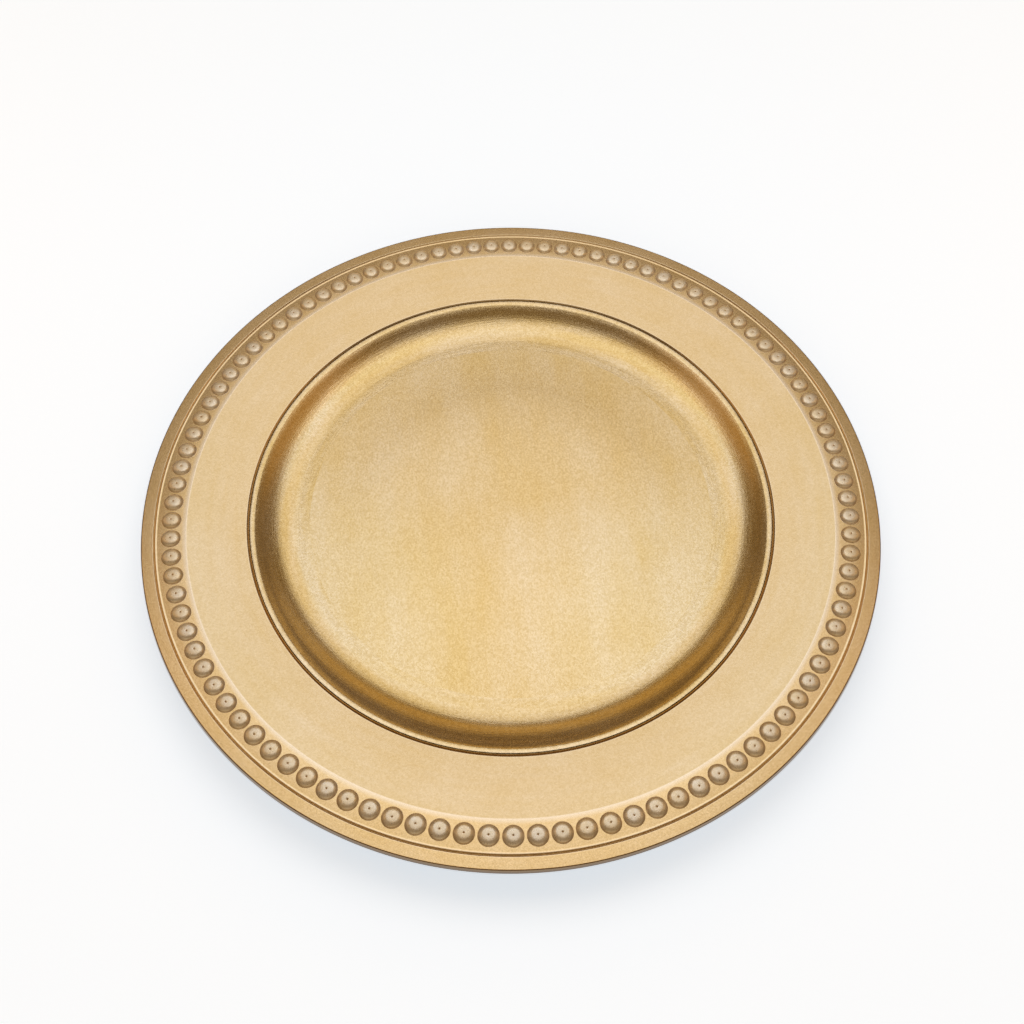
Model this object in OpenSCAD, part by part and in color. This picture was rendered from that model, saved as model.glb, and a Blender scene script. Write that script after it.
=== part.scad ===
// Charger plate with a beaded border. The real plate is one thin moulding, painted gold. It is
// modelled here as the named regions of that moulding, each a solid of its own, which meet face
// to face. The plate stands on its foot ring at z = 0, and every region turns about the Z axis.

/* [Overall] */
// Diameter over the foot of the flared edge
plate_d = 330; // [300:1:360]
// Height of the outer lip's top edge above the table
plate_h = 19; // [17.5:0.5:24]
// Thickness of the moulding, square to its surface
wall_t = 2; // [1.6:0.1:2.4]

/* [Outer lip] */
// Width from the outer groove to the lip's top edge
lip_w = 5.5; // [4.5:0.1:8]
// Slope of the lip, rising outwards, in degrees
lip_slope = 5; // [0:0.5:8]
// Depth of the turned-down edge
edge_h = 2.7; // [2.3:0.1:4]
// How far the edge flares outwards on its way down
edge_flare = 0.75; // [0.2:0.05:1.5]
// Rounding of the lip's top edge
edge_round = 0.6; // [0.3:0.1:1]
// Width of the V groove inside the lip
groove_w = 1.5; // [1:0.1:2.4]
// Depth of the V groove inside the lip
groove_depth = 0.5; // [0.3:0.05:0.8]

/* [Beaded border] */
// Width of the band that carries the beads
band_w = 13.5; // [12:0.1:18]
// Slope of the band, rising outwards, in degrees
band_slope = 4.7; // [2:0.1:8]
// Diameter of a bead where it meets the band
bead_d = 8.5; // [5:0.1:9.5]
// Height of a bead above the band
bead_h = 1.6; // [0.8:0.1:2.4]
// Least gap between neighbouring beads
bead_gap = 0.8; // [0.4:0.1:3]
// How far the ring of beads sits inside the middle of its band
bead_inset = 0.4; // [0:0.1:1]

/* [Rim] */
// Width of the plain rim between the well and the beaded border
rim_w = 26.2; // [18:0.2:34]
// Slope of the plain rim, rising outwards, in degrees
rim_slope = 11; // [6:0.5:13]

/* [Well] */
// Radius of the rounded roll at the mouth of the well
roll_r = 6; // [4:0.1:8]
// Distance from the top of the roll to the bottom of the groove outside it
roll_w = 1; // [0.8:0.1:1.8]
// Width of that groove's inner side, on the roll
roll_groove_w = 0.4; // [0.3:0.05:0.6]
// Depth of that groove
roll_groove_depth = 0.5; // [0.3:0.05:0.8]
// Width of the rim's chamfer on the outer side of that groove
roll_chamfer = 0.7; // [0.3:0.1:1]
// Steepest slope of the well's wall, in degrees
wall_slope = 35; // [28:1:60]
// Radius of the hollow corner between the wall and the floor
corner_r = 36; // [12:1:40]

/* [Foot] */
// Height of the foot ring below the floor
foot_h = 1.9; // [1:0.1:3]
// Width of the foot ring at its root
foot_w = 3; // [2:0.1:5]
// How much each side of the foot ring tapers
foot_taper = 0.4; // [0.1:0.1:0.8]
// Distance from the edge of the flat floor in to the foot ring
foot_inset = 2.5; // [0.5:0.5:15]

/* [Moulding gate] */
// Diameter of the shallow recess round the gate, under the floor
gate_d = 12; // [6:0.5:20]
// Depth of the gate recess
gate_depth = 0.5; // [0.2:0.1:0.8]
// Diameter of the trimmed stub in the recess
stub_d = 2.4; // [1:0.1:4]
// Height of the trimmed stub
stub_h = 0.3; // [0.1:0.05:0.45]

/* [Hidden] */
$fn = 180;

brushed_gold = [0.80, 0.68, 0.47];
turned_gold = [0.72, 0.58, 0.37];
satin_gold = [0.83, 0.70, 0.48];
bead_gold = [0.84, 0.74, 0.58];

// How far a cut runs past what it has to clear
overrun = 1;

// Upright thickness of the sloping border, the same under the rim, the band and the lip
border_t = wall_t / cos(rim_slope);

// Radii, worked inwards from the edge
edge_r = plate_d / 2 - edge_flare;
groove_r = edge_r - lip_w;
crease_r = groove_r - band_w;
well_r = crease_r - rim_w;

// Heights of the upper surface at those radii, worked down from the lip
groove_z = plate_h - lip_w * tan(lip_slope);
crease_z = groove_z - band_w * tan(band_slope);
well_z = crease_z - rim_w * tan(rim_slope);

// Each side of the outer groove, measured from its bottom
groove_half = groove_w / 2;

// The roll at the mouth of the well: its centre, its outer end, and the bottom of the groove there
roll_c = [well_r - roll_w, well_z - roll_r];
roll_fall = asin((roll_w - roll_groove_w) / roll_r);
roll_end = roll_c + roll_r * [sin(roll_fall), cos(roll_fall)];
roll_foot = [well_r, well_z - roll_groove_depth];

// The straight part of the well's wall starts where the roll reaches the wall's slope
wall_up = [-sin(wall_slope), cos(wall_slope)];
wall_top = roll_c + roll_r * wall_up;
wall_top_under = wall_top - wall_t * wall_up;

// The hollow corner takes up the rest of the depth, and leaves some of the wall straight
corner_limit_share = 0.95;
floor_z = foot_h + wall_t;
wall_drop = wall_top.y - floor_z;
corner_used = min(corner_r, corner_limit_share * wall_drop / (1 - cos(wall_slope)));
straight_drop = wall_drop - corner_used * (1 - cos(wall_slope));
corner_top = wall_top - [straight_drop / tan(wall_slope), straight_drop];
corner_top_under = corner_top - wall_t * wall_up;
floor_r = corner_top.x - corner_used * sin(wall_slope);
corner_c = [floor_r, floor_z + corner_used];

// The foot ring
foot_out = floor_r - foot_inset;
foot_in = foot_out - foot_w;

// The beads: each is a cap of a sphere that stands square to the band
bead_ring_r = groove_r - band_w / 2 - bead_inset;
bead_ring_z = crease_z + (bead_ring_r - crease_r) * tan(band_slope);
bead_ball_r = (pow(bead_d / 2, 2) + pow(bead_h, 2)) / (2 * bead_h);
bead_count = floor(360 / (2 * asin((bead_d + bead_gap) / (2 * bead_ring_r))));

// Height of the band's upper surface carried in to the Z axis
band_tip_z = crease_z - crease_r * tan(band_slope);

// Points on an arc about c, from angle a to angle b, in the given number of steps
function arc(c, r, a, b, steps) =
    [for (i = [0 : steps]) let (t = a + (b - a) * i / steps) c + r * [cos(t), sin(t)]];

// Turns an outline, drawn as radius and height, about the Z axis
module turned() {
    rotate_extrude() children();
}

module well_floor() {
    color(brushed_gold)
        translate([0, 0, foot_h])
            difference() {
                cylinder(h = wall_t, r = floor_r);
                translate([0, 0, -overrun])
                    difference() {
                        cylinder(h = overrun + gate_depth, d = gate_d);
                        translate([0, 0, overrun + gate_depth - stub_h])
                            cylinder(h = stub_h, d = stub_d);
                    }
            }
}

// The hollow, curved wall: a ring of even thickness, trimmed to the angle that it turns through
module well_wall() {
    reach = 2 * (corner_used + wall_t);
    color(turned_gold)
        turned()
            intersection() {
                translate(corner_c)
                    difference() {
                        circle(r = corner_used + wall_t);
                        circle(r = corner_used);
                    }
                polygon([
                    corner_c,
                    corner_c + [0, -reach],
                    corner_c + reach * [sin(wall_slope), -cos(wall_slope)]
                ]);
            }
}

// Section of the roll's round top, above the line between its two ends
module roll_top_section() {
    intersection() {
        translate(roll_c) circle(r = roll_r);
        polygon([wall_top, roll_end, roll_end + [0, roll_r], wall_top + [0, roll_r]]);
    }
}

// The straight top of the wall and the roll round the mouth of the well
module well_roll() {
    color(turned_gold)
        union() {
            turned()
                polygon([
                    corner_top, wall_top, roll_end, roll_foot,
                    [well_r, well_z - border_t], wall_top_under, corner_top_under
                ]);
            turned() roll_top_section();
        }
}

module rim() {
    color(satin_gold)
        turned()
            polygon([
                roll_foot,
                [well_r + roll_chamfer, well_z + roll_chamfer * tan(rim_slope)],
                [crease_r, crease_z],
                [crease_r, crease_z - border_t],
                [well_r, well_z - border_t]
            ]);
}

module bead_band() {
    color(satin_gold)
        turned()
            polygon([
                [crease_r, crease_z],
                [groove_r - groove_half, groove_z - groove_half * tan(band_slope)],
                [groove_r, groove_z - groove_depth],
                [groove_r, groove_z - border_t],
                [crease_r, crease_z - border_t]
            ]);
}

// One bead on the +X side, its underside cut to the band's own surface
module bead() {
    reach_r = plate_d;
    intersection() {
        translate([bead_ring_r, 0, bead_ring_z])
            rotate([0, -band_slope, 0])
                translate([0, 0, bead_h - bead_ball_r])
                    sphere(r = bead_ball_r);
        translate([0, 0, band_tip_z])
            cylinder(h = reach_r * tan(band_slope), r1 = 0, r2 = reach_r);
    }
}

module beads() {
    color(bead_gold)
        for (i = [0 : bead_count - 1])
            rotate([0, 0, (i + 0.5) * 360 / bead_count])
                bead();
}

module outer_lip() {
    // Centre of the rounding, which touches the lip's slope and the flared edge
    round_steps = 6;
    edge_lean = atan(edge_flare / edge_h);
    turn = (90 - edge_lean + lip_slope) / 2;
    round_back = edge_round * tan(turn);
    round_c = [edge_r, plate_h] - round_back * [cos(lip_slope), sin(lip_slope)]
        + edge_round * [sin(lip_slope), -cos(lip_slope)];
    color(satin_gold)
        turned()
            polygon(concat(
                [
                    [groove_r, groove_z - groove_depth],
                    [groove_r + groove_half, groove_z + groove_half * tan(lip_slope)]
                ],
                arc(round_c, edge_round, 90 + lip_slope, edge_lean, round_steps),
                [
                    [plate_d / 2, plate_h - edge_h],
                    [plate_d / 2 - wall_t, plate_h - edge_h],
                    [edge_r - wall_t, plate_h - wall_t * tan(lip_slope) - border_t],
                    [groove_r, groove_z - border_t]
                ]
            ));
}

module foot_ring() {
    color(satin_gold)
        turned()
            polygon([
                [foot_in, foot_h],
                [foot_in + foot_taper, 0],
                [foot_out - foot_taper, 0],
                [foot_out, foot_h]
            ]);
}

well_floor();
well_wall();
well_roll();
rim();
bead_band();
beads();
outer_lip();
foot_ring();
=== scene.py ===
"""Charger plate with a beaded border, dressed in brushed and satin gold paint.

Every region of the moulding is made afresh, with soft arrises and paint that the CAD solids don't have,
and replaces its CAD node. Outlines are in millimetres, objects in metres.
"""

import math

import bpy
import numpy as np
from mathutils import Matrix, Vector


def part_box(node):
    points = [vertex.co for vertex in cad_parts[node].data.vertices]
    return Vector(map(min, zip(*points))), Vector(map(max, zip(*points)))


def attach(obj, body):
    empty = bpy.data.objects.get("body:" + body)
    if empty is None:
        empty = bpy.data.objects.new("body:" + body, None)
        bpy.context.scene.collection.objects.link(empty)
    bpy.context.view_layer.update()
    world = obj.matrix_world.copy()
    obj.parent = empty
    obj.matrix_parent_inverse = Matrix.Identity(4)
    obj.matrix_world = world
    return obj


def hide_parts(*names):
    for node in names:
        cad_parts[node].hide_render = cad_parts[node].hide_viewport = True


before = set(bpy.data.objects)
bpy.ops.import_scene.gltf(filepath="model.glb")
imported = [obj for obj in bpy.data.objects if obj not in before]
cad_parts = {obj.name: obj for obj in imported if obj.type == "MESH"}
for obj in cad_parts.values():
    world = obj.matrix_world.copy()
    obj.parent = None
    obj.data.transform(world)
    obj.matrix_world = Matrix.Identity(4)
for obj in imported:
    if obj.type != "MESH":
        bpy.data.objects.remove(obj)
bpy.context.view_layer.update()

MM = 0.001
BEADS = 102

# How finely the outlines are cut and turned, and what counts as one spot, one line or the axis
TURN_STEPS = 5 * BEADS
ARC_STEP = math.radians(5)
LEAST_ARC_STEPS = 2
SAME_SPOT = 1e-4
SAME_LINE = 1e-4
ON_AXIS = 1e-6

# Sizes that the frame doesn't give, in millimetres and degrees: first the well
WALL_SLOPE = math.radians(35)
CORNER_R = 36.0
DISH_END_R = 98.0
DISH_SLOPE = math.radians(2.9)
BEND_END_R = 107.5
BEND_SLOPE = math.radians(25)
ROLL_R = 6.0
ROLL_W = 1.0
SHOULDER_R = 116.0
SHOULDER_SLOPE = math.radians(29)
CREST_R = 117.2
CREST_SLOPE = math.radians(9)
FALL_SLOPE = math.radians(4)
ROLL_END_ROUND = 0.6
WELL_GROOVE_IN = 0.4
WELL_GROOVE_OUT = 0.7
WELL_GROOVE_DEPTH = 0.5

# The border and its edge
RIM_SLOPE = math.radians(11)
BAND_SLOPE = math.radians(4.7)
BAND_CROWN = 0.03
LIP_SLOPE = math.radians(5)
GROOVE_DEPTH = 0.4
GROOVE_HALF = 0.5
GROOVE_FLAT = 0.12
RIDGE_W = 0.8
RIDGE_H = 0.09
EDGE_FLARE = 0.75
EDGE_ROUND = 0.4
EDGE_W = 2.0
SOFT_ARRIS = 0.25
# Width over which the paint fades into an arris's wear and painted highlight, or into the painted shade
# at the outer edge
TONE_FADE_W = 0.45
# Width of the painted highlight that makes the band paler next to the crease
BAND_HIGHLIGHT_W = 2.0

# The beads. A dome's height falls as (1 - share ** DOME_FLAT) ** DOME_EDGE with the share of its radius
BEAD_D = 8.2
BEAD_INSET = 0.4
BEAD_CLEAR = 0.16
BEAD_STEPS = 36
DOME_FLAT = 5.0
DOME_EDGE = 0.75
DOME_RINGS = 15
FILLET_H = 0.18
FILLET_RINGS = 5
SKIRT_W = 0.05
SKIRT_Z = -0.04
UNDER_Z = -0.3
TINT_SEED = 7

# The pit at a bead's top, with the shares of its radius and depth from its middle outwards
# The pit is painted dark: painted shade
PIT_R = 0.32
PIT_DEPTH = 0.16
PIT_SHAPE = [(0, 1), (0.45, 0.8), (0.8, 0.3)]

# The underside
GATE_R = 6.0
GATE_DEPTH = 0.5
STUB_R = 1.2
STUB_H = 0.3
FOOT_W = 3.0
FOOT_TAPER = 0.4

# Tones of the paint. Above plain it gets paler, partly from wear and partly as painted highlight. Below
# plain it gets darker as painted shade: deep in grooves, pits and at bead feet, darkest on the outer edge
# face
WORN_HIGHLIGHT = 1.0
PLAIN = 0.0
DEEP_SHADE = -1.0
# Darkest on the outer edge face: painted shade
SHADED_EDGE = -2.0
# Paler at arrises and at the roll's crest: wear and painted highlight
ARRIS_HIGHLIGHT_TONE = 0.5
CREST_HIGHLIGHT_TONE = 0.3
# Darker where the roll ends and in the grooves: painted shade
ROLL_END_SHADE_TONE = -0.3
WELL_GROOVE_SHADE_TONE = -0.8
GROOVE_SHADE_TONE = -0.7
GROOVE_LIP_SHADE_TONE = -0.2
# The outer edge darkens towards its face: painted shade
EDGE_SHADE_TONE = -1.7
# Beads get darker towards their foot: painted shade
BEAD_FOOT_SHADE_TONE = -0.35
BEAD_SHADE_POWER = 4


def reach(node):
    """Outer radius, lowest and highest point of a CAD node, in millimetres."""
    low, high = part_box(node)
    return high.x / MM, low.z / MM, high.z / MM


# Radii and heights that the frame gives, and what follows from them
_, FOOT_H, FLOOR_Z = reach("well_floor")
WELL_R, _, _ = reach("well_roll")
CREASE_R, RIM_LOW, CREASE_Z = reach("rim")
GROOVE_R, _, _ = reach("bead_band")
PLATE_R, EDGE_LOW, _ = reach("outer_lip")
FOOT_R, _, _ = reach("foot_ring")
_, _, BEAD_TOP = reach("beads")
WALL_T = FLOOR_Z - FOOT_H
BORDER_T = WALL_T / math.cos(RIM_SLOPE)
WELL_Z = RIM_LOW + BORDER_T
GROOVE_Z = CREASE_Z + (GROOVE_R - CREASE_R) * math.tan(BAND_SLOPE)
GROOVE_BOTTOM = GROOVE_Z - GROOVE_DEPTH
RIDGE_R = GROOVE_R - GROOVE_HALF - RIDGE_W
EDGE_R = PLATE_R - EDGE_FLARE
EDGE_Z = GROOVE_Z + (EDGE_R - GROOVE_R) * math.tan(LIP_SLOPE)
FOOT_IN = FOOT_R - FOOT_W

# The roll round the well, and the wall below it
ROLL_C = (WELL_R - ROLL_W, WELL_Z - ROLL_R)
ROLL_FOOT = (WELL_R, WELL_Z - WELL_GROOVE_DEPTH)
WALL_UP = (-math.sin(WALL_SLOPE), math.cos(WALL_SLOPE))
WALL_TOP = (ROLL_C[0] + ROLL_R * WALL_UP[0], ROLL_C[1] + ROLL_R * WALL_UP[1])
CORNER_DROP = CORNER_R * (1 - math.cos(WALL_SLOPE))
STRAIGHT_DROP = WALL_TOP[1] - FLOOR_Z - CORNER_DROP
CORNER_TOP = (WALL_TOP[0] - STRAIGHT_DROP / math.tan(WALL_SLOPE), FLOOR_Z + CORNER_DROP)
FLOOR_R = CORNER_TOP[0] - CORNER_R * math.sin(WALL_SLOPE)


def bends(start, slope, ends):
    """Arcs that follow one another from start, each up to a radius and the slope that it has there.

    Gives a corner (radius, height, rounding) for each arc, and the last arc's end.
    """
    corners = []
    for end_r, end_slope in ends:
        radius = (end_r - start[0]) / (math.sin(end_slope) - math.sin(slope))
        tangent = radius * math.tan((end_slope - slope) / 2)
        corner = (start[0] + tangent * math.cos(slope), start[1] + tangent * math.sin(slope))
        corners.append((*corner, abs(radius)))
        start = (corner[0] + tangent * math.cos(end_slope), corner[1] + tangent * math.sin(end_slope))
        slope = end_slope
    return corners, start


def well_bends():
    """The gentle dish at the floor's edge, cut where the wall begins, and the wall's hollow bends."""
    wall = [(BEND_END_R, BEND_SLOPE), (CORNER_TOP[0], WALL_SLOPE)]
    _, wall_rise = bends((DISH_END_R, 0), DISH_SLOPE, wall)
    dish_h = CORNER_TOP[1] - FLOOR_Z - wall_rise[1]
    dish_r = DISH_END_R - dish_h / math.tan(DISH_SLOPE / 2)
    edge_slope = math.asin(math.sin(DISH_SLOPE) * (FLOOR_R - dish_r) / (DISH_END_R - dish_r))
    inner, edge = bends((dish_r, FLOOR_Z), 0, [(FLOOR_R, edge_slope)])
    outer, _ = bends(edge, edge_slope, [(DISH_END_R, DISH_SLOPE), *wall])
    return inner, edge, outer


DISH_CORNERS, FLOOR_EDGE, WALL_CORNERS = well_bends()


def below(point):
    """The point of the wall's underside that lies square under a point of its straight part."""
    return (point[0] - WALL_T * WALL_UP[0], point[1] - WALL_T * WALL_UP[1])


def turn(vector, angle):
    """A flat vector turned anticlockwise."""
    c, s = math.cos(angle), math.sin(angle)
    return np.array([c * vector[0] - s * vector[1], s * vector[0] + c * vector[1]])


def smooth_runs(points, closed=True):
    """Cuts an outline at its sharp corners and rounds the others.

    A point is (radius, height, rounding, tone). The outline runs clockwise, so that its outside is on
    the left. Each run is an array of rows: radius, height, the normal's two parts, and tone.
    """
    table = [tuple(p) + (0.0,) * (4 - len(p)) for p in points]
    if closed:
        table.append(table[0])
    spots = [np.array(p[:2]) for p in table]
    runs, run = [], []

    def add(spot, normal, tone):
        """Adds a row, unless the last one is at the same spot."""
        if not run or math.dist(spot, run[-1][:2]) > SAME_SPOT:
            run.append([*spot, *normal, tone])

    for i in range(len(table) - 1):
        ahead = spots[i + 1] - spots[i]
        ahead /= np.linalg.norm(ahead)
        normal = np.array([-ahead[1], ahead[0]])
        if not run:
            add(spots[i], normal, table[i][3])
        rounding, tone = table[i + 1][2:4]
        if i + 2 == len(table):
            add(spots[i + 1], normal, tone)
            runs.append(np.array(run))
            break
        after = spots[i + 2] - spots[i + 1]
        after /= np.linalg.norm(after)
        angle = math.atan2(ahead[0] * after[1] - ahead[1] * after[0], ahead @ after)
        if abs(angle) < SAME_LINE:
            add(spots[i + 1], normal, tone)
        elif rounding == 0:
            add(spots[i + 1], normal, tone)
            runs.append(np.array(run))
            run = []
        else:
            side = math.copysign(1, angle)
            start = spots[i + 1] - ahead * rounding * math.tan(abs(angle) / 2)
            centre = start + side * rounding * normal
            steps = max(LEAST_ARC_STEPS, math.ceil(abs(angle) / ARC_STEP))
            for k in range(steps + 1):
                n = turn(normal, angle * k / steps)
                add(centre - side * rounding * n, n, tone)
    return runs


def add_object(name, data):
    """A new object in the scene that shows a mesh, lamp or camera."""
    made = bpy.data.objects.new(name, data)
    bpy.context.scene.collection.objects.link(made)
    return made


def smooth_piece(name, points, faces, **attributes):
    """A smooth piece from points in millimetres, with named numbers for each point."""
    mesh = bpy.data.meshes.new(name)
    mesh.from_pydata((np.vstack(points) * MM).tolist(), [], faces)
    for key, values in attributes.items():
        data = mesh.attributes.new(key, "FLOAT", "POINT").data
        data.foreach_set("value", np.array(values, np.float32))
    mesh.shade_smooth()
    return add_object(name, mesh)


def turned(name, outline, closed=True):
    """A solid made by turning an outline about Z, with the outline's own normals.

    An outline that isn't closed starts and ends on the axis.
    """
    runs = smooth_runs(outline, closed)
    rows = np.vstack([run[:-1] for run in runs] + ([] if closed else [runs[-1][-1:]]))
    single = rows[:, 0] < ON_AXIS
    sizes = np.where(single, 1, TURN_STEPS)
    starts = np.cumsum(sizes) - sizes
    angle = np.arange(TURN_STEPS) * 2 * math.pi / TURN_STEPS
    ring = np.stack([np.cos(angle), np.sin(angle)], 1)
    here = np.arange(TURN_STEPS)
    there = (here + 1) % TURN_STEPS

    def swept(outward, upward):
        """A flat vector at every step of the turn."""
        return np.column_stack([outward * ring, np.full(TURN_STEPS, upward)])

    faces, normals = [], []
    first = 0
    for run in runs:
        for k in range(len(run) - 1):
            a = first + k
            b = (a + 1) % len(rows)
            corners = [(a, run[k], here), (b, run[k + 1], here)]
            if not single[b]:
                corners.append((b, run[k + 1], there))
            if not single[a]:
                corners.append((a, run[k], there))
            spots = [starts[i] + (0 * steps if single[i] else steps) for i, _, steps in corners]
            square = [swept(row[2], row[3])[steps] for _, row, steps in corners]
            faces.extend(np.stack(spots, 1).tolist())
            normals.append(np.stack(square, 1).reshape(-1, 3))
        first += len(run) - 1
    points = [swept(row[0], row[1])[:size] for row, size in zip(rows, sizes)]
    piece = smooth_piece(name, points, faces, tone=np.repeat(rows[:, 4], sizes))
    piece.data.normals_split_custom_set(np.vstack(normals).tolist())
    return piece


# Outlines of the turned regions, clockwise from the inner end of the upper surface

def floor_outline():
    recess_z = FOOT_H + GATE_DEPTH
    return [
        (0, FLOOR_Z),
        *DISH_CORNERS,
        FLOOR_EDGE,
        (FLOOR_R, FOOT_H),
        (GATE_R, FOOT_H, SOFT_ARRIS),
        (GATE_R, recess_z, SOFT_ARRIS / 2),
        (STUB_R, recess_z),
        (STUB_R, recess_z - STUB_H),
        (0, recess_z - STUB_H),
    ]


def wall_outline():
    outer_tangent = (CORNER_R + WALL_T) * math.tan(WALL_SLOPE / 2)
    return [
        FLOOR_EDGE,
        *WALL_CORNERS,
        CORNER_TOP,
        below(CORNER_TOP),
        (FLOOR_R + outer_tangent, FOOT_H, CORNER_R + WALL_T),
        (FLOOR_R, FOOT_H),
    ]


def roll_outline():
    ends = [(SHOULDER_R, SHOULDER_SLOPE), (CREST_R, CREST_SLOPE), (WELL_R - WELL_GROOVE_IN, -FALL_SLOPE)]
    (shoulder, crest, fall), end = bends(CORNER_TOP, WALL_SLOPE, ends)
    return [
        CORNER_TOP,
        shoulder,
        crest,
        (*fall, CREST_HIGHLIGHT_TONE),
        (*end, ROLL_END_ROUND, ROLL_END_SHADE_TONE),
        (*ROLL_FOOT, 0, WELL_GROOVE_SHADE_TONE),
        (WELL_R, RIM_LOW),
        below(WALL_TOP),
        below(CORNER_TOP),
    ]


def rim_outline():
    slope = (CREASE_Z - WELL_Z) / (CREASE_R - WELL_R)
    arris_r = WELL_R + WELL_GROOVE_OUT
    plain_r = arris_r + 2 * SOFT_ARRIS
    return [
        (*ROLL_FOOT, 0, WELL_GROOVE_SHADE_TONE),
        (arris_r, WELL_Z + WELL_GROOVE_OUT * slope, SOFT_ARRIS, ARRIS_HIGHLIGHT_TONE),
        (plain_r, WELL_Z + (plain_r - WELL_R) * slope),
        (CREASE_R - TONE_FADE_W, CREASE_Z - TONE_FADE_W * slope),
        (CREASE_R, CREASE_Z, 0, WORN_HIGHLIGHT),
        (CREASE_R, CREASE_Z - BORDER_T),
        (WELL_R, RIM_LOW),
    ]


def band_height(r):
    """Height of the band from the crease to the ridge: a parabola, BAND_CROWN high in its middle."""
    share = (r - CREASE_R) / (RIDGE_R - CREASE_R)
    return CREASE_Z + (r - CREASE_R) * math.tan(BAND_SLOPE) + 4 * BAND_CROWN * share * (1 - share)


def band_outline():
    middle_r = (CREASE_R + RIDGE_R) / 2
    middle_z = (band_height(CREASE_R) + band_height(RIDGE_R)) / 2 + 2 * BAND_CROWN
    half_bend = math.atan(2 * BAND_CROWN / (middle_r - CREASE_R))
    crown_r = (middle_r - CREASE_R - BAND_HIGHLIGHT_W) / math.cos(BAND_SLOPE) / math.tan(half_bend)
    ridge_z = band_height(RIDGE_R) + RIDGE_H + RIDGE_W * math.tan(BAND_SLOPE)
    return [
        # The band pales next to the crease: painted highlight
        (CREASE_R, CREASE_Z, 0, WORN_HIGHLIGHT),
        (middle_r, middle_z, crown_r),
        (RIDGE_R, band_height(RIDGE_R), SOFT_ARRIS),
        (GROOVE_R - GROOVE_HALF, ridge_z, SOFT_ARRIS, ARRIS_HIGHLIGHT_TONE),
        (GROOVE_R - GROOVE_FLAT, GROOVE_BOTTOM, GROOVE_FLAT, GROOVE_SHADE_TONE),
        (GROOVE_R, GROOVE_BOTTOM, 0, GROOVE_SHADE_TONE),
        (GROOVE_R, GROOVE_Z - BORDER_T),
        (CREASE_R, CREASE_Z - BORDER_T),
    ]


def lip_outline():
    def on_lip(r):
        return r, GROOVE_Z + (r - GROOVE_R) * math.tan(LIP_SLOPE)

    return [
        (GROOVE_R, GROOVE_BOTTOM, 0, GROOVE_SHADE_TONE),
        (GROOVE_R + GROOVE_FLAT, GROOVE_BOTTOM, GROOVE_FLAT, GROOVE_LIP_SHADE_TONE),
        (*on_lip(GROOVE_R + GROOVE_HALF), SOFT_ARRIS, ARRIS_HIGHLIGHT_TONE),
        on_lip(GROOVE_R + GROOVE_HALF + TONE_FADE_W),
        on_lip(EDGE_R - TONE_FADE_W),
        # Over the outer edge the paint darkens: painted shade
        (EDGE_R, EDGE_Z, EDGE_ROUND, EDGE_SHADE_TONE),
        (PLATE_R, EDGE_LOW, SOFT_ARRIS, SHADED_EDGE),
        (PLATE_R - EDGE_W, EDGE_LOW, SOFT_ARRIS),
        (EDGE_R - EDGE_W, EDGE_Z - EDGE_W * math.tan(LIP_SLOPE) - BORDER_T, SOFT_ARRIS),
        (GROOVE_R, GROOVE_Z - BORDER_T),
    ]


def foot_outline():
    return [
        (FOOT_R, FOOT_H),
        (FOOT_R - FOOT_TAPER, 0, SOFT_ARRIS),
        (FOOT_IN + FOOT_TAPER, 0, SOFT_ARRIS),
        (FOOT_IN, FOOT_H),
    ]


def bead_rows(dome_h):
    """Distances from a bead's middle and heights above the band, from the pit out to its skirt.

    The skirt lies just inside the band, so that no gap shows at the fillet's end.
    """
    half = BEAD_D / 2
    join = half * (1 - (FILLET_H / dome_h) ** (1 / DOME_EDGE)) ** (1 / DOME_FLAT)
    rows = [(share * PIT_R, dome_h - depth * PIT_DEPTH) for share, depth in PIT_SHAPE]
    for share in np.sin(np.linspace(0, math.pi / 2, DOME_RINGS)):
        d = PIT_R + (join - PIT_R) * share
        rows.append((d, dome_h * (1 - (d / half) ** DOME_FLAT) ** DOME_EDGE))
    steep = math.atan2(rows[-2][1] - rows[-1][1], rows[-1][0] - rows[-2][0])
    fillet_r = FILLET_H / (1 - math.cos(steep))
    for angle in np.linspace(steep, 0, FILLET_RINGS)[1:]:
        d = join + fillet_r * (math.sin(steep) - math.sin(angle))
        rows.append((d, fillet_r * (1 - math.cos(angle))))
    return rows + [(rows[-1][0] + SKIRT_W, SKIRT_Z)]


def bead_form(dome_h):
    """One closed bead about its own middle.

    Gives its points' places outwards and round the ring, their heights above the band and their tones,
    and then the faces.
    """
    rows = bead_rows(dome_h)
    around = np.arange(BEAD_STEPS) * 2 * math.pi / BEAD_STEPS
    points = [(0.0, 0.0, rows[0][1], DEEP_SHADE)]
    for d, height in rows[1:]:
        # The pit is painted dark and the bead darkens towards its foot: painted shade
        tone = DEEP_SHADE if d < PIT_R else BEAD_FOOT_SHADE_TONE * (d / (BEAD_D / 2)) ** BEAD_SHADE_POWER
        points.extend((d * c, d * s, height, tone) for c, s in zip(np.cos(around), np.sin(around)))
    points.append((0.0, 0.0, UNDER_Z, PLAIN))
    last_ring = 1 + (len(rows) - 2) * BEAD_STEPS
    faces = []
    for k in range(BEAD_STEPS):
        n = (k + 1) % BEAD_STEPS
        faces.append((0, 1 + k, 1 + n))
        for ring in range(1, last_ring, BEAD_STEPS):
            faces.append((ring + k, ring + BEAD_STEPS + k, ring + BEAD_STEPS + n, ring + n))
        faces.append((last_ring + k, len(points) - 1, last_ring + n))
    return *np.array(points).T, faces


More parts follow.
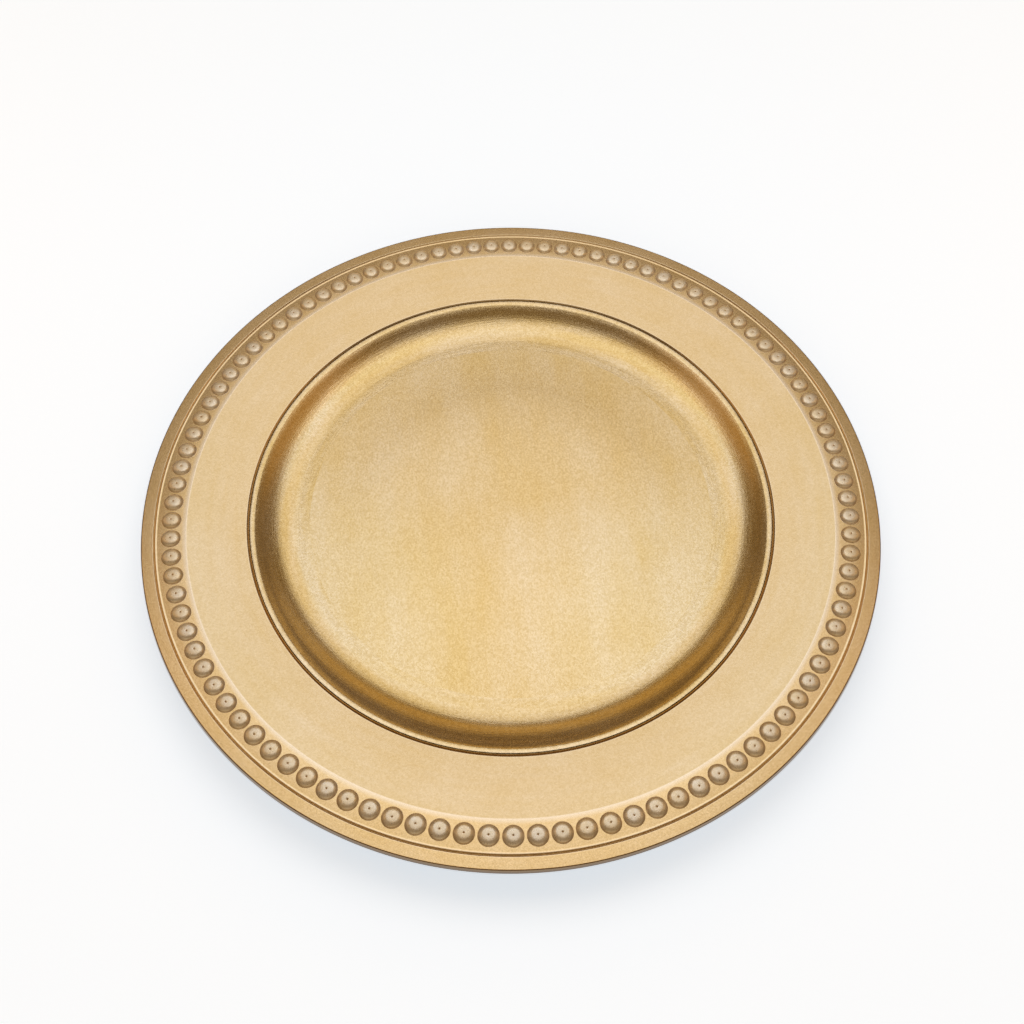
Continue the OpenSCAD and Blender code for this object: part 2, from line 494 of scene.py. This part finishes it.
def make_beads():
    """The ring of beads on the crowned band, each with its own tint."""
    ring_r = (GROOVE_R + CREASE_R) / 2 - BEAD_INSET
    x, y, height, tone, bead_faces = bead_form(BEAD_TOP - BEAD_CLEAR - band_height(ring_r))
    outward = ring_r + x
    z = band_height(np.hypot(outward, y)) + height
    rng = np.random.default_rng(TINT_SEED)
    points, faces, tints = [], [], []
    for i in range(BEADS):
        angle = (i + 0.5) * 2 * math.pi / BEADS
        c, s = math.cos(angle), math.sin(angle)
        points.append(np.stack([outward * c - y * s, outward * s + y * c, z], 1))
        faces.extend([i * len(x) + spot for spot in face] for face in bead_faces)
        tints.extend([rng.random()] * len(x))
    return smooth_piece("beads_domed", points, faces, tone=np.tile(tone, BEADS), tint=tints)


# Materials

class Nodes:
    """A node tree with short calls. node gives the new node, and the others give one of its outputs."""

    def __init__(self, tree):
        self.tree = tree
        tree.nodes.clear()

    def put(self, socket, value):
        """Links an output to the socket, or sets the socket's own value."""
        if isinstance(value, bpy.types.NodeSocket):
            self.tree.links.new(value, socket)
        else:
            socket.default_value = value

    def node(self, kind, inputs=(), **settings):
        made = self.tree.nodes.new(kind)
        for name, value in settings.items():
            setattr(made, name, value)
        for name, value in dict(inputs).items():
            self.put(made.inputs[name], value)
        return made

    def out(self, kind, inputs=(), output=0, **settings):
        return self.node(kind, inputs, **settings).outputs[output]

    def math(self, operation, a, b=0.0):
        return self.out("ShaderNodeMath", {0: a, 1: b}, operation=operation)

    def vector(self, x, y, z):
        return self.out("ShaderNodeCombineXYZ", {0: x, 1: y, 2: z})

    def noise(self, vector, scale=1.0, detail=2.0, roughness=0.5):
        inputs = {"Vector": vector, "Scale": scale, "Detail": detail, "Roughness": roughness}
        return self.out("ShaderNodeTexNoise", inputs)

    def span(self, value, low, high, to_low=0.0, to_high=1.0):
        return self.out("ShaderNodeMapRange", {0: value, 1: low, 2: high, 3: to_low, 4: to_high})

    def blend(self, a, b, share):
        """Two values weighed together. The share is the second one's."""
        return self.math("ADD", self.math("MULTIPLY", a, 1 - share), self.math("MULTIPLY", b, share))

    def mix(self, share, a, b, blend="MIX"):
        """Two colours mixed. Each is three numbers or an output, and the share is the second one's."""
        made = self.node("ShaderNodeMix", {0: share}, data_type="RGBA", blend_type=blend)
        for socket, colour in ((made.inputs[6], a), (made.inputs[7], b)):
            self.put(socket, (*colour, 1.0) if isinstance(colour, tuple) else colour)
        return made.outputs[2]


GOLD_LIGHT = (0.75, 0.61, 0.41)
GOLD_OCHRE = (0.69, 0.52, 0.27)
BRUSH_LIGHT = (0.79, 0.65, 0.43)
BRUSH_OCHRE = (0.74, 0.56, 0.27)
BORDER_WARMTH = (1.10, 1.05, 0.95)
BORDER_FADE_W = 0.1
# Pale paint on arrises, crease and crest: wear and painted highlight
GOLD_WORN_HIGHLIGHT = (0.85, 0.72, 0.54)
# Dark paint in grooves and pits: painted shade
GOLD_PAINTED_SHADE = (0.46, 0.26, 0.07)
# The outer edge face painted dark: painted shade standing in for the dark reflection of the shaded floor
EDGE_PAINTED_SHADE = (0.20, 0.15, 0.11)
FLAKE_SHADE = (0.83, 0.78, 0.64)
BEAD_PALE = (1.0, 0.93, 0.80)
BEAD_WARM = (1.0, 0.86, 0.62)
STROKE_LEAN = math.radians(6)
BUMP_DISTANCE = 0.00005
GRAIN_SPAN = (0.3, 0.7)


def place(n):
    """Object coordinates, their three parts, and the distance from the plate's axis."""
    where = n.out("ShaderNodeTexCoord", output="Object")
    parts = n.node("ShaderNodeSeparateXYZ", {0: where}).outputs
    squares = [n.math("MULTIPLY", part, part) for part in parts[:2]]
    return where, parts, n.math("SQRT", n.math("ADD", *squares))


def straight_strokes(n, parts, across, along):
    """Coordinates in which noise becomes strokes that run nearly along Y.

    The two numbers are how fine the noise is across a stroke and along it.
    """
    c, s = math.cos(STROKE_LEAN), math.sin(STROKE_LEAN)
    side = n.math("ADD", n.math("MULTIPLY", parts[0], c), n.math("MULTIPLY", parts[1], s))
    ahead = n.math("SUBTRACT", n.math("MULTIPLY", parts[1], c), n.math("MULTIPLY", parts[0], s))
    return n.vector(n.math("MULTIPLY", side, across), n.math("MULTIPLY", ahead, along), 0.0)


def round_strokes(n, parts, radius, around, outward):
    """Coordinates in which noise becomes strokes round the axis, without a seam.

    The last two numbers are how fine the noise is round the axis and away from it.
    """
    x = n.math("MULTIPLY", n.math("DIVIDE", parts[0], radius), around)
    y = n.math("MULTIPLY", n.math("DIVIDE", parts[1], radius), around)
    return n.vector(x, y, n.math("MULTIPLY", radius, outward))


def flaked(n, colour, vector, scale, share):
    """The colour, darkened by a random amount in each flake of the metallic paint."""
    cell = n.out("ShaderNodeTexVoronoi", {"Vector": vector, "Scale": scale}, output="Color")
    dark = n.node("ShaderNodeSeparateColor", {0: cell}).outputs[0]
    return n.mix(n.math("MULTIPLY", dark, share), colour, FLAKE_SHADE, "MULTIPLY")


def finish_gold(n, colour, grain, rough, bump, metallic=0.92, anisotropic=0.0):
    """The paint itself: paler on its arrises from wear and painted highlight, and darker in its grooves
    from painted shade.

    The grain gives its small bumps, and its roughness between the two numbers of rough.
    """
    roughness = n.span(grain, *GRAIN_SPAN, *rough)
    tone = n.out("ShaderNodeAttribute", attribute_name="tone", output="Fac")
    # Paler towards wear and painted highlight, darker towards painted shade in hollows and on the edge
    # face
    worn_highlit = n.mix(n.span(tone, PLAIN, WORN_HIGHLIGHT), colour, GOLD_WORN_HIGHLIGHT)
    shaded = n.mix(n.span(tone, PLAIN, DEEP_SHADE), worn_highlit, GOLD_PAINTED_SHADE)
    # The outer edge face darkened: painted shade
    edge_shaded = n.mix(n.span(tone, DEEP_SHADE, SHADED_EDGE), shaded, EDGE_PAINTED_SHADE)
    normal = n.out("ShaderNodeBump", {"Strength": bump, "Distance": BUMP_DISTANCE, "Height": grain})
    inputs = {"Base Color": edge_shaded, "Roughness": roughness, "Normal": normal, "Metallic": metallic}
    shader = n.node("ShaderNodeBsdfPrincipled", inputs)
    if anisotropic:
        n.put(shader.inputs["Anisotropic"], anisotropic)
        n.put(shader.inputs["Tangent"], n.out("ShaderNodeTangent", direction_type="RADIAL", axis="Z"))
    n.node("ShaderNodeOutputMaterial", {0: shader.outputs[0]})


def new_material(name):
    material = bpy.data.materials.new(name)
    material.use_nodes = True
    return material, Nodes(material.node_tree)


def brushed_gold():
    """The floor's paint, with straight strokes and large soft patches."""
    material, n = new_material("brushed_gold")
    where, parts, _ = place(n)
    fine = n.noise(straight_strokes(n, parts, across=1400.0, along=300.0), roughness=0.6)
    broad = n.noise(straight_strokes(n, parts, across=42.0, along=9.0), detail=3.0, roughness=0.55)
    cloud = n.noise(where, scale=26.0)
    patch = n.blend(broad, cloud, share=0.35)
    colour = n.mix(n.span(patch, low=0.36, high=0.64), BRUSH_OCHRE, BRUSH_LIGHT)
    flakes = straight_strokes(n, parts, across=1900.0, along=1400.0)
    colour = flaked(n, colour, flakes, scale=1.0, share=1.0)
    finish_gold(n, colour, fine, rough=(0.20, 0.26), bump=0.4)
    return material


def turned_gold():
    """The wall's and roll's paint, with strokes round the axis and the strongest grain."""
    material, n = new_material("turned_gold")
    where, parts, radius = place(n)
    fine = n.noise(round_strokes(n, parts, radius, around=9.0, outward=1700.0), detail=3.0, roughness=0.6)
    broad = n.noise(round_strokes(n, parts, radius, around=2.0, outward=120.0))
    speck = n.noise(where, scale=1100.0, roughness=0.7)
    colour = n.mix(n.span(broad, low=0.35, high=0.65), BRUSH_OCHRE, BRUSH_LIGHT)
    grain = n.blend(fine, speck, share=0.5)
    colour = flaked(n, colour, where, scale=1400.0, share=1.0)
    finish_gold(n, colour, grain, rough=(0.16, 0.32), bump=1.0, anisotropic=0.3)
    return material


def satin_gold():
    """The border's and foot's paint, smoother, and warmer beyond the crease."""
    material, n = new_material("satin_gold")
    where, parts, radius = place(n)
    broad = n.noise(where, scale=32.0, detail=3.0, roughness=0.6)
    arcs = n.noise(round_strokes(n, parts, radius, around=3.0, outward=260.0), detail=3.0)
    fine = n.noise(where, scale=1400.0, roughness=0.6)
    patch = n.blend(broad, arcs, share=0.4)
    colour = n.mix(n.span(patch, low=0.25, high=0.75), GOLD_OCHRE, GOLD_LIGHT)
    border = n.span(radius, (CREASE_R - BORDER_FADE_W) * MM, (CREASE_R + BORDER_FADE_W) * MM)
    colour = n.mix(border, colour, BORDER_WARMTH, "MULTIPLY")
    colour = flaked(n, colour, where, scale=1600.0, share=0.6)
    finish_gold(n, colour, fine, rough=(0.20, 0.25), bump=0.14)
    return material


def bead_gold():
    """The beads' paint, paler and less like metal, each bead with its own tint."""
    material, n = new_material("bead_gold")
    where, _, _ = place(n)
    tint = n.out("ShaderNodeAttribute", attribute_name="tint", output="Fac")
    cloud = n.noise(where, scale=260.0, detail=3.0, roughness=0.6)
    fine = n.noise(where, scale=1600.0, roughness=0.6)
    patch = n.blend(cloud, tint, share=0.3)
    colour = n.mix(n.span(patch, low=0.3, high=0.7), BEAD_WARM, BEAD_PALE)
    colour = flaked(n, colour, where, scale=1400.0, share=0.5)
    finish_gold(n, colour, fine, rough=(0.26, 0.34), bump=0.4, metallic=0.5)
    return material


# The floor, in metres. ROOM_ON_FLOOR and LAMPS_ON_FLOOR say how bright the room and the lamps make it, in
# red, green and blue. The lamps' part is largest at FLOOR_LIT_Y and fades from there over FLOOR_LIT_SPAN
FLOOR_HALF = 8.0
FLOOR_COLOUR = 0.9
FLOOR_WHITE = 0.975
FLOOR_GAIN = 1.2
ROOM_ON_FLOOR = (0.212, 0.150, 0.090)
LAMPS_ON_FLOOR = (0.278, 0.246, 0.214)
FLOOR_LIT_Y = 0.26
FLOOR_LIT_SPAN = 0.71
FLOOR_LIT_POWER = -2.0
NO_BOUNCE = 0.5


def floor_material():
    """A white floor that keeps the plate's shadow, and is clear from below.

    The camera, and reflections that haven't bounced off a matt surface, see its light and shade stronger
    than they are. They also see a glow that adds what the floor still lacks of white. The glow lights
    nothing.
    """
    material, n = new_material("floor_white")
    _, parts, _ = place(n)
    path = n.node("ShaderNodeLightPath").outputs
    mirrored = n.math("MAXIMUM", path["Is Glossy Ray"], path["Is Transmission Ray"])
    direct = n.math("LESS_THAN", path["Diffuse Depth"], NO_BOUNCE)
    seen = n.math("MULTIPLY", n.math("MAXIMUM", path["Is Camera Ray"], mirrored), direct)
    shade = n.span(seen, 0.0, 1.0, FLOOR_COLOUR, FLOOR_GAIN * FLOOR_COLOUR)
    lit = n.out("ShaderNodeBsdfDiffuse", {"Color": shade})
    ahead = n.math("SUBTRACT", parts[1], FLOOR_LIT_Y)
    away = n.math("ADD", n.math("MULTIPLY", parts[0], parts[0]), n.math("MULTIPLY", ahead, ahead))
    spread = n.math("ADD", n.math("DIVIDE", away, FLOOR_LIT_SPAN**2), 1.0)
    fade = n.math("POWER", spread, FLOOR_LIT_POWER)
    lacking = []
    for room, lamps in zip(ROOM_ON_FLOOR, LAMPS_ON_FLOOR):
        lamp_share = n.math("MULTIPLY", fade, FLOOR_GAIN * lamps)
        lacking.append(n.math("SUBTRACT", FLOOR_WHITE - FLOOR_GAIN * room, lamp_share))
    glow = n.out("ShaderNodeEmission", {"Color": n.vector(*lacking), "Strength": seen})
    top = n.out("ShaderNodeAddShader", {0: lit, 1: glow})
    from_below = n.out("ShaderNodeNewGeometry", output="Backfacing")
    clear = n.out("ShaderNodeBsdfTransparent")
    surface = n.out("ShaderNodeMixShader", {0: from_below, 1: top, 2: clear})
    n.node("ShaderNodeOutputMaterial", {0: surface})
    return material


def make_floor():
    mesh = bpy.data.meshes.new("floor")
    h = FLOOR_HALF
    mesh.from_pydata([(-h, -h, 0), (h, -h, 0), (h, h, 0), (-h, h, 0)], [], [(0, 1, 2, 3)])
    floor = add_object("floor", mesh)
    mesh.materials.append(floor_material())


# The room's colours. ROOM_HIGH is reached where a direction's upward part is ROOM_HIGH_AT, and
# ROOM_FRONT comes in while its part towards the front goes through FRONT_SPAN
ROOM_LOW = (0.155, 0.10, 0.06)
ROOM_HIGH = (0.18, 0.12, 0.062)
ROOM_HIGH_AT = 0.8
ROOM_FRONT = (0.6, 0.48, 0.32)
FRONT_SPAN = (0.45, 0.9)


def make_world():
    """A dim warm room, brighter low in front of the plate."""
    world = bpy.data.worlds.new("dim_room")
    bpy.context.scene.world = world
    world.use_nodes = True
    n = Nodes(world.node_tree)
    direction = n.out("ShaderNodeTexCoord", output="Generated")
    parts = n.node("ShaderNodeSeparateXYZ", {0: direction}).outputs
    room = n.mix(n.span(parts[2], 0.0, ROOM_HIGH_AT), ROOM_LOW, ROOM_HIGH)
    front = n.span(n.math("MULTIPLY", parts[1], -1.0), *FRONT_SPAN)
    colour = n.mix(front, room, ROOM_FRONT)
    n.node("ShaderNodeOutputWorld", {0: n.out("ShaderNodeBackground", {0: colour, 1: 1.0})})


SOFT_WHITE = (1.0, 0.98, 0.96)
WHITE = (1.0, 1.0, 1.0)
REAR_AMBER = (1.0, 0.64, 0.18)
SIDE_AMBER = (1.0, 0.58, 0.22)
SHEEN_BLUE = (0.25, 0.6, 1.0)
MIDDLE = (0, 0, 0)

# Each lamp's name, middle, width and depth in metres, radiance, colour, and the point that it faces
LAMPS = [
    ("overhead", (0, 0.225, 0.5), (0.52, 0.52), 1.03, SOFT_WHITE, (0, 0.225, 0)),
    ("key", (0, 0.1, 0.49), (0.28, 0.26), 0.12, WHITE, (0, 0.1, 0)),
    ("rear", (0, 0.95, 0.5), (1.2, 0.32), 0.5, REAR_AMBER, MIDDLE),
    ("left", (-0.5, 0.15, 0.48), (0.4, 0.7), 0.4, SIDE_AMBER, MIDDLE),
    ("left_sheen", (-0.13, 0.17, 0.48), (0.16, 0.22), 0.24, SHEEN_BLUE, MIDDLE),
    ("right", (0.5, 0.15, 0.48), (0.4, 0.7), 0.4, SIDE_AMBER, MIDDLE),
    ("right_sheen", (0.13, 0.17, 0.48), (0.16, 0.22), 0.24, SHEEN_BLUE, MIDDLE),
]


def softbox(name, middle, size, radiance, colour, aim):
    """A flat lamp that looks as bright as its radiance says, from anywhere in front of it."""
    lamp = bpy.data.lights.new(name, "AREA")
    lamp.shape = "ELLIPSE"
    lamp.size, lamp.size_y = size
    area = math.pi * size[0] * size[1] / 4
    lamp.energy = radiance * math.pi * area
    lamp.color = colour
    holder = add_object(name, lamp)
    holder.location = middle
    holder.rotation_euler = (Vector(aim) - Vector(middle)).to_track_quat("-Z", "Y").to_euler()
    holder.visible_camera = False


# The photograph's camera, in metres and degrees. Its tilt is away from looking straight down
CAMERA_X = 0.00052
CAMERA_BACK = 0.23435
CAMERA_UP = 0.40428
CAMERA_TILT = math.radians(30.07)
CAMERA_LENS = 35.11
BEAD_TURN = math.radians(-0.389)


def make_camera():
    """The photograph's view, turned with the beads, whose ring starts elsewhere in the photograph."""
    data = bpy.data.cameras.new("camera")
    data.lens = CAMERA_LENS
    camera = add_object("camera", data)
    turned_by = Matrix.Rotation(BEAD_TURN, 4, "Z")
    spot = Matrix.Translation((CAMERA_X, -CAMERA_BACK, CAMERA_UP))
    camera.matrix_world = turned_by @ spot @ Matrix.Rotation(CAMERA_TILT, 4, "X")
    bpy.context.scene.camera = camera


def dress():
    """Makes every piece, in place of its CAD node."""
    gold = {make.__name__: make() for make in (brushed_gold, turned_gold, satin_gold, bead_gold)}
    pieces = [
        (turned("well_floor_brushed", floor_outline(), closed=False), "well_floor", "brushed_gold"),
        (turned("well_wall_hollow", wall_outline()), "well_wall", "turned_gold"),
        (turned("well_roll_round", roll_outline()), "well_roll", "turned_gold"),
        (turned("rim_plain", rim_outline()), "rim", "satin_gold"),
        (turned("bead_band_crowned", band_outline()), "bead_band", "satin_gold"),
        (turned("outer_lip_flared", lip_outline()), "outer_lip", "satin_gold"),
        (turned("foot_ring_soft", foot_outline()), "foot_ring", "satin_gold"),
        (make_beads(), "beads", "bead_gold"),
    ]
    for piece, node, slot in pieces:
        piece.data.materials.append(gold[slot])
        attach(piece, "root")
        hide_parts(node)


dress()
make_floor()
make_world()
for lamp in LAMPS:
    softbox(*lamp)
make_camera()
bpy.context.scene.view_settings.view_transform = "Standard"
